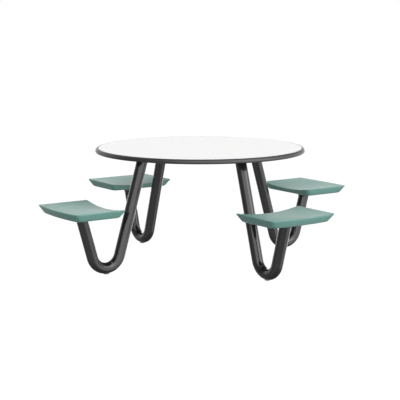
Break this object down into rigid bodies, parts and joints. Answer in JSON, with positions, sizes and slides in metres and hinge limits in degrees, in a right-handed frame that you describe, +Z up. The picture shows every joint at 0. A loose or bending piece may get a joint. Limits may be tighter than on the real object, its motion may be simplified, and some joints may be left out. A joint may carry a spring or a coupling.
{
  "type": "table with attached swivel seats",
  "caption": "Round laminate-topped dining table on bent round tube legs, each leg running down to the floor and up again to carry a dished swivel seat.",
  "frame": {"origin": "on the floor, below the middle of the tabletop", "axes": "+Z up; the four legs stand on +X, +Y, -X and -Y, numbered 1 to 4 in that order"},
  "size_m": [2.11, 2.11, 0.74],
  "materials": {
    "laminate": "smooth white high-pressure laminate",
    "core_board": "raw particle board",
    "backer": "dark balancing sheet",
    "edge_band": "satin charcoal moulded edge",
    "leg_paint": "charcoal powder coat, semi-gloss",
    "seat_plastic": "sage green moulded plastic, satin",
    "zinc_steel": "zinc plated",
    "nylon": "black nylon",
    "bush_nylon": "natural nylon"
  },
  "bodies": {
    "table": {"top_core": "core_board", "top_laminate": "laminate", "top_backer": "backer", "edge_band": "edge_band", "top_inserts": "zinc_steel", "leg_bolt_washers": "zinc_steel", "leg_bolts": "zinc_steel", "retaining_washers": "zinc_steel", "retaining_screws": "zinc_steel", "leg_tube_1": "leg_paint", "leg_mount_plate_1": "leg_paint", "floor_glide_1": "nylon", "seat_plate_1": "leg_paint", "spindle_1": "zinc_steel", "leg_tube_2": "leg_paint", "leg_mount_plate_2": "leg_paint", "floor_glide_2": "nylon", "seat_plate_2": "leg_paint", "spindle_2": "zinc_steel", "leg_tube_3": "leg_paint", "leg_mount_plate_3": "leg_paint", "floor_glide_3": "nylon", "seat_plate_3": "leg_paint", "spindle_3": "zinc_steel", "leg_tube_4": "leg_paint", "leg_mount_plate_4": "leg_paint", "floor_glide_4": "nylon", "seat_plate_4": "leg_paint", "spindle_4": "zinc_steel"},
    "seat_1": {"lower_bush_1": "bush_nylon", "upper_bush_1": "bush_nylon", "swivel_hub_1": "leg_paint", "seat_shell_1": "seat_plastic", "seat_screws_1": "zinc_steel"},
    "seat_2": {"lower_bush_2": "bush_nylon", "upper_bush_2": "bush_nylon", "swivel_hub_2": "leg_paint", "seat_shell_2": "seat_plastic", "seat_screws_2": "zinc_steel"},
    "seat_3": {"lower_bush_3": "bush_nylon", "upper_bush_3": "bush_nylon", "swivel_hub_3": "leg_paint", "seat_shell_3": "seat_plastic", "seat_screws_3": "zinc_steel"},
    "seat_4": {"lower_bush_4": "bush_nylon", "upper_bush_4": "bush_nylon", "swivel_hub_4": "leg_paint", "seat_shell_4": "seat_plastic", "seat_screws_4": "zinc_steel"}
  },
  "joints": [
    {"name": "seat_1_swivel", "type": "hinge", "parent": "table", "child": "seat_1", "pos_m": [0.868, 0, 0.37], "axis": [0, 0, 1], "continuous": true},
    {"name": "seat_2_swivel", "type": "hinge", "parent": "table", "child": "seat_2", "pos_m": [0, 0.868, 0.37], "axis": [0, 0, 1], "continuous": true},
    {"name": "seat_3_swivel", "type": "hinge", "parent": "table", "child": "seat_3", "pos_m": [-0.868, 0, 0.37], "axis": [0, 0, 1], "continuous": true},
    {"name": "seat_4_swivel", "type": "hinge", "parent": "table", "child": "seat_4", "pos_m": [0, -0.868, 0.37], "axis": [0, 0, 1], "continuous": true}
  ]
}
